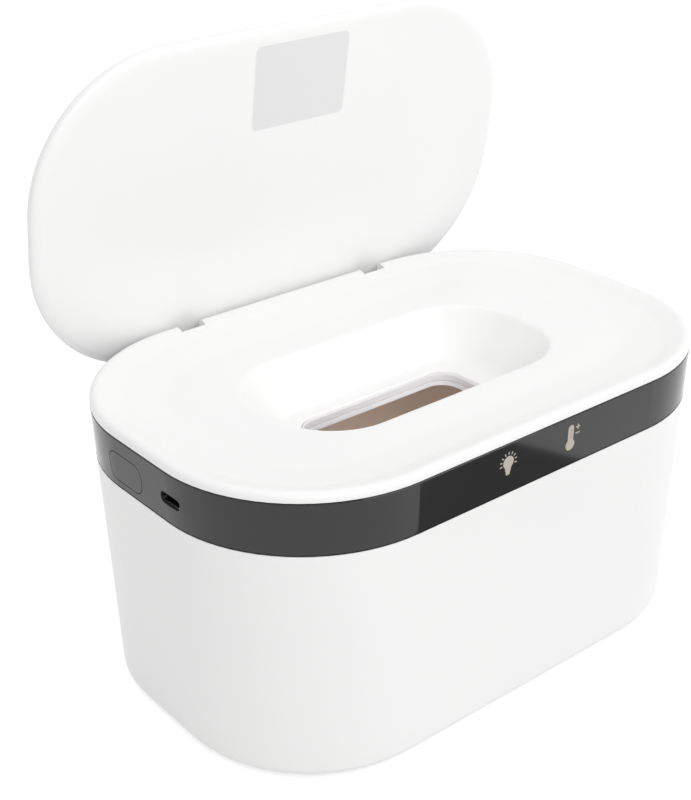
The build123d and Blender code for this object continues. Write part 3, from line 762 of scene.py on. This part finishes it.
def makeArm(side):
    place = (side * hingeBlock["armX"], hingeY, hingeZ)
    clearSelection()
    bpy.ops.curve.primitive_bezier_curve_add(radius=1, location=(0, 0, 0))
    piece = bpy.context.object
    piece.data.dimensions = "2D"
    piece.data.extrude = hingeBlock["armWidth"] / 2
    piece.data.resolution_u = arm["bowSteps"]
    spline = piece.data.splines[0]
    spline.bezier_points.add(len(arm["bow"]) - 2)
    for point, bow in zip(spline.bezier_points, arm["bow"]):
        point.co = (*bow, 0)
        point.handle_left_type = point.handle_right_type = "AUTO"
    bpy.ops.object.convert(target="MESH")
    piece.rotation_euler = (pi / 2, 0, pi / 2)
    piece.location = place
    applyPlace()
    thick = piece.modifiers.new("thickness", "SOLIDIFY")
    thick.thickness = arm["thickness"]
    thick.offset = 0
    bpy.ops.object.modifier_apply(modifier=thick.name)
    pick(piece, "EDIT")
    turnOut()
    combine(piece, addRod(arm["barrel"], hingeBlock["armWidth"], place), "UNION")
    combine(piece, addRod(arm["pinHole"], hingeBlock["armWidth"] * 2, place), "DIFFERENCE")
    return piece


def makeLidPanel():
    # down from the parting line to the inner face, then the hollow behind it
    piece = startOutline("lidPanel", lid["size"], parting, lidY)
    bpy.ops.mesh.flip_normals()
    straight = lid["panelThickness"] - lid["borderDepth"]
    ring(0, -straight)
    follow([Vector((lid["border"] * (1 - cos(turn)), parting - straight - lid["borderDepth"] * sin(turn)))
            for turn in turnsUpTo(pi / 2, lid["borderSteps"])], -1)
    ring(lid["borderInner"], 0, -1)
    selectFace((0, 0, 1), parting)
    ring(lid["shellWall"], 0)
    ring(lid["pocketTaper"], -lid["pocket"])
    turnOut()
    for side in (-1, 1):
        combine(piece, makeArm(side), "UNION")
    return piece


def makeLidShell():
    # up from its widest outline to the crown, then the chamfer and the hollow below
    widest = parting + lid["partingChamfer"]
    piece = startOutline("lidShell", lid["size"], widest, lidY)
    edgeTop = parting + lid["edgeHeight"]
    rise = lid["shellHeight"] - lid["edgeHeight"]
    ring(0, edgeTop - widest - lid["edgeRadius"])
    points = [Vector((lid["edgeRadius"] * (1 - cos(turn)), edgeTop - lid["edgeRadius"] * (1 - sin(turn))))
              for turn in turnsUpTo(lid["edgeTurn"], lid["edgeSteps"])]
    follow(points)
    last = points[-1]
    reach, climb = lid["crownReach"] - last.x, edgeTop + rise - last.y
    crown = []
    for step in range(lid["crownRings"] + 1):
        share = step / lid["crownRings"]
        crown.append(Vector((last.x + reach * share, last.y + climb * (1 - (1 - share) ** 2))))
    follow(crown)
    selectFace((0, 0, -1), widest)
    bpy.ops.mesh.inset(thickness=lid["partingChamfer"], depth=lid["partingChamfer"], use_even_offset=True)
    ring(lid["shellWall"], 0, -1)
    ring(lid["pocketTaper"], lid["shellHollow"], -1)
    turnOut()
    return piece


lidPanel = makeLidPanel()
openLid(lidPanel)
softenEdges(lidPanel, lid["panelSoftEdge"])
finishPiece(lidPanel, materials["lidPlasticPaintedLight"], "lid", "lid_inner_plastic", "lid_panel")
lidShell = makeLidShell()
openLid(lidShell)
softenEdges(lidShell, lid["shellSoftEdge"], angle=lid["shellSoftAngle"])
finishPiece(lidShell, materials["coverPlastic"], "lid", "lid_outer_plastic", "lid_shell")


# Bare label plate on the lid's inner face

label = {
    "size": (37.8 * mm, 28.7 * mm, 2.0 * mm),
    "place": (2.3 * mm, -29.9 * mm),
    "thickness": 0.08 * mm,
    "edge": 0.032 * mm,  # width and height of its bevel
}


def makeLabelPlate():
    face = lidFace + tiny
    piece = startOutline("labelPlate", label["size"], face, label["place"][1])
    bpy.ops.transform.translate(value=(label["place"][0], 0, 0))
    bpy.ops.mesh.flip_normals()
    ring(0, label["edge"] - label["thickness"])
    ring(label["edge"], label["edge"], -1)
    turnOut()
    openLid(piece)
    return piece


finishPiece(makeLabelPlate(), materials["labelFilm"], "lid", "lid_inner_plastic")


# Printed symbols over the two touch keys

symbols = {
    "height": 0.04 * mm,
    "sunk": 0.03 * mm,
    "level": 90.15 * mm,  # the symbols' own heights count from here
    "discCorner": 0.999,  # corner of a round plate, as a share of its radius
}


def addFlatPiece(size, place, angle=0):  # a thin rounded plate with its place on the wall and its turn
    piece = startOutline("stroke", size, -symbols["sunk"])
    bpy.ops.mesh.flip_normals()
    ring(0, symbols["sunk"] + symbols["height"])
    turnOut()
    piece.rotation_euler.z = angle
    piece.location = (*place, 0)
    applyPlace()
    return piece


def addDisc(radius, place):
    return addFlatPiece((2 * radius, 2 * radius, radius * symbols["discCorner"]), place)


def addTaper(piece, low, share):  # narrows the lower end of a flat piece
    pick(piece, "EDIT")
    bpy.ops.mesh.select_mode(type="VERT")
    bpy.ops.mesh.select_all(action="DESELECT")
    bpy.ops.object.mode_set(mode="OBJECT")
    for vertex in piece.data.vertices:
        vertex.select = vertex.co.y < low
    middle = sum(vertex.co.x for vertex in piece.data.vertices) / len(piece.data.vertices)
    bpy.ops.object.mode_set(mode="EDIT")
    bpy.ops.transform.resize(value=(share, 1, 1), center_override=(middle, 0, 0))
    bpy.ops.object.mode_set(mode="OBJECT")


lightSymbol = {
    "place": -14.3 * mm,  # along the front
    "glass": 2.12 * mm,
    "centre": 2.28 * mm,
    "neck": (3.0 * mm, 3.5 * mm, 0.3 * mm),
    "neckDrop": 2.5 * mm,
    "taperDrop": 3 * mm,
    "taper": 0.5,  # width at the foot of the neck, as a share
    "ray": (0.95 * mm, 0.38 * mm, 0.15 * mm),
    "rayReach": 3.05 * mm,
    "rayStart": radians(-15),
    "raySweep": radians(210),
    "raySteps": 8,
}


def makeLightSymbol():  # a bulb with its neck and rays
    x, centre = lightSymbol["place"], lightSymbol["centre"]
    piece = addDisc(lightSymbol["glass"], (x, centre))
    neck = addFlatPiece(lightSymbol["neck"], (x, centre - lightSymbol["neckDrop"]))
    addTaper(neck, centre - lightSymbol["taperDrop"], lightSymbol["taper"])
    combine(piece, neck, "UNION")
    reach = lightSymbol["rayReach"]
    rays = []
    for turn in turnsUpTo(lightSymbol["raySweep"], lightSymbol["raySteps"]):
        turn += lightSymbol["rayStart"]
        place = (x + reach * cos(turn), centre + reach * sin(turn))
        rays.append(addFlatPiece(lightSymbol["ray"], place, turn))
    return [piece, *rays]


warmthSymbol = {
    "place": 12.1 * mm,
    "bulb": 1.9 * mm,
    "bulbCentre": -1.17 * mm,
    "stem": (2.4 * mm, 6.8 * mm, 1.19 * mm),
    "stemCentre": 2.17 * mm,
    "tick": (0.8 * mm, 0.14 * mm, 0.05 * mm),
    "ticks": 5,
    "tickShift": 0.2 * mm,
    "tickStart": 1.4 * mm,
    "tickStep": 0.7 * mm,
    "sign": (1.8 * mm, 0.42 * mm, 0.1 * mm),
    "signShift": 3 * mm,
    "plusCentre": 4.2 * mm,
    "minusCentre": 2.1 * mm,
}


def makeWarmthSymbol():  # a thermometer with plus and minus signs
    x = warmthSymbol["place"]
    piece = addDisc(warmthSymbol["bulb"], (x, warmthSymbol["bulbCentre"]))
    combine(piece, addFlatPiece(warmthSymbol["stem"], (x, warmthSymbol["stemCentre"])), "UNION")
    for step in range(warmthSymbol["ticks"]):
        height = warmthSymbol["tickStart"] + warmthSymbol["tickStep"] * step
        tick = addFlatPiece(warmthSymbol["tick"], (x + warmthSymbol["tickShift"], height))
        combine(piece, tick, "DIFFERENCE")
    length, width, corner = warmthSymbol["sign"]
    signX = x + warmthSymbol["signShift"]
    plus = addFlatPiece((length, width, corner), (signX, warmthSymbol["plusCentre"]))
    combine(plus, addFlatPiece((width, length, corner), (signX, warmthSymbol["plusCentre"])), "UNION")
    minus = addFlatPiece((length, width, corner), (signX, warmthSymbol["minusCentre"]))
    return [piece, plus, minus]


def makeSymbol(name, parts):
    clearSelection()
    for part in parts:
        part.select_set(True)
    bpy.context.view_layer.objects.active = parts[0]
    bpy.ops.object.join()
    piece = bpy.context.object
    piece.name = name
    front = body["width"] / 2 - body["lean"] * (body["top"] - symbols["level"])
    piece.rotation_euler.x = pi / 2 + atan(body["lean"])  # leans with the wall
    piece.location = (0, -front, symbols["level"])
    applyPlace()
    finishPiece(piece, materials["symbolInk"], "housing", "smoked_plastic")


makeSymbol("lightSymbol", makeLightSymbol())
makeSymbol("warmthSymbol", makeWarmthSymbol())


# Floor, background, lights and camera

studio = {
    "floorSize": 3.0,
    "floorLevel": -0.05 * mm,
    "floorColour": (0.77, 0.77, 0.77, 1),
    "floorRoughness": 0.9,
    "floorShine": 0.1,
    "floorGlow": 0.5,
    "worldStrength": 0.69,
    "cardCorners": ((-0.014, -0.13), (0.132, -0.13), (0.099, -0.20), (0.086, -0.20)),  # on the floor
    "cardLevel": 0.5 * mm,
    "cardColour": (0.05, 0.05, 0.05, 1),
    "cardRoughness": 0.9,
}
lampAim = (0, 0, 0.09)  # the middle of the object
lamps = {  # place, size, power
    "keyLight": ((0.55, -0.95, 1.05), 0.9, 3.6),
    "frontLight": ((-0.43, -0.84, 0.62), 0.5, 2.2),
    "topLight": ((0, 0.05, 1.3), 1.2, 2.1),
    "rightLight": ((1.0, -0.25, 0.5), 0.8, 0.6),
    "slotLight": ((0, -0.030, 0.072), 0.03, 0.0115),
    "linerLight": ((0.02, 0, 0.045), 0.05, 0.007),
}
# two very weak lamps light what the slot shows
insideAims = {"slotLight": (0, 0.05, 0.06), "linerLight": (0.04, 0.06, 0.045)}


def seenDirectly(tree):  # 1 for what the camera, a reflection or a clear piece shows, 0 for light
    path = addNode(tree, "ShaderNodeLightPath")
    total = path.outputs["Is Camera Ray"]
    for kind in ("Is Glossy Ray", "Is Transmission Ray"):
        both = addNode(tree, "ShaderNodeMath", operation="ADD", use_clamp=True)
        tree.links.new(total, both.inputs[0])
        tree.links.new(path.outputs[kind], both.inputs[1])
        total = both.outputs["Value"]
    return total


def makeDarkCard():  # a card beside the object that only its glossy band shows
    clearSelection()
    bpy.ops.mesh.primitive_plane_add(size=1, location=(0, 0, 0))
    card = bpy.context.object
    card.name = "darkCard"
    order = [(-1, 1), (1, 1), (1, -1), (-1, -1)]  # the plane's corners as the card's are listed
    for vertex in card.data.vertices:
        corner = order.index((round(vertex.co.x * 2), round(vertex.co.y * 2)))
        vertex.co = (*studio["cardCorners"][corner], studio["cardLevel"])
    material = bpy.data.materials.new("cardBlack")
    material.use_nodes = True
    setInputs(material.node_tree.nodes["Principled BSDF"], Base_Color=studio["cardColour"],
              Roughness=studio["cardRoughness"])
    card.data.materials.append(material)
    card.visible_camera = card.visible_diffuse = card.visible_shadow = False


def makeStudio():
    clearSelection()
    bpy.ops.mesh.primitive_plane_add(size=studio["floorSize"], location=(0, 0, studio["floorLevel"]))
    floor = bpy.context.object
    floor.name = "studioFloor"
    material = bpy.data.materials.new("studioPaper")
    material.use_nodes = True
    tree = material.node_tree
    shader = tree.nodes["Principled BSDF"]
    setInputs(shader, Base_Color=studio["floorColour"], Roughness=studio["floorRoughness"],
              Specular_IOR_Level=studio["floorShine"])
    glow = addNode(tree, "ShaderNodeEmission")
    setInputs(glow, Strength=studio["floorGlow"])
    none = addNode(tree, "ShaderNodeEmission")
    setInputs(none, Strength=0)
    choose = addNode(tree, "ShaderNodeMixShader")
    total = addNode(tree, "ShaderNodeAddShader")
    link = tree.links.new
    link(seenDirectly(tree), choose.inputs["Fac"])
    link(none.outputs["Emission"], choose.inputs[1])
    link(glow.outputs["Emission"], choose.inputs[2])
    link(shader.outputs["BSDF"], total.inputs[0])
    link(choose.outputs["Shader"], total.inputs[1])
    link(total.outputs["Shader"], tree.nodes["Material Output"].inputs["Surface"])
    floor.data.materials.append(material)


def makeWorld():
    world = bpy.data.worlds.new("studioWorld")
    bpy.context.scene.world = world
    world.use_nodes = True
    tree = world.node_tree
    seen = tree.nodes["Background"]
    setInputs(seen, Color=(1, 1, 1, 1), Strength=1)
    lit = addNode(tree, "ShaderNodeBackground")
    setInputs(lit, Color=(1, 1, 1, 1), Strength=studio["worldStrength"])
    choose = addNode(tree, "ShaderNodeMixShader")
    link = tree.links.new
    link(seenDirectly(tree), choose.inputs["Fac"])
    link(lit.outputs["Background"], choose.inputs[1])
    link(seen.outputs["Background"], choose.inputs[2])
    link(choose.outputs["Shader"], tree.nodes["World Output"].inputs["Surface"])


def addSoftbox(name, place, size, power):  # a square lamp, not seen itself
    lamp = bpy.data.lights.new(name, "AREA")
    lamp.shape = "SQUARE"
    lamp.size = size
    lamp.energy = power
    holder = bpy.data.objects.new(name, lamp)
    bpy.context.scene.collection.objects.link(holder)
    target = Vector(insideAims.get(name, lampAim))
    holder.visible_camera = False
    holder.visible_glossy = name not in insideAims
    holder.location = place
    holder.rotation_euler = (target - Vector(place)).to_track_quat("-Z", "Y").to_euler()


camera = {
    "place": (-0.28469, -0.32504, 0.30016),
    "turn": 0.6777,  # to the right of straight ahead, in radians
    "down": 0.4645,
    "roll": -0.014,
    "lens": 65.72,
    "sensor": 36,
}


def makeCamera():
    data = bpy.data.cameras.new("studioCamera")
    data.lens = camera["lens"]
    data.sensor_width = camera["sensor"]
    holder = bpy.data.objects.new("studioCamera", data)
    bpy.context.scene.collection.objects.link(holder)
    aim = Matrix.Rotation(-camera["turn"], 4, "Z") @ Matrix.Rotation(pi / 2 - camera["down"], 4, "X")
    roll = Matrix.Rotation(camera["roll"], 4, "Z")
    holder.matrix_world = Matrix.Translation(camera["place"]) @ aim @ roll
    bpy.context.scene.camera = holder


makeStudio()
makeDarkCard()
makeWorld()
for name, (place, size, power) in lamps.items():
    addSoftbox(name, place, size, power)
makeCamera()
bpy.context.scene.view_settings.view_transform = "Standard"
print("studio set up with", len(lamps), "lamps")
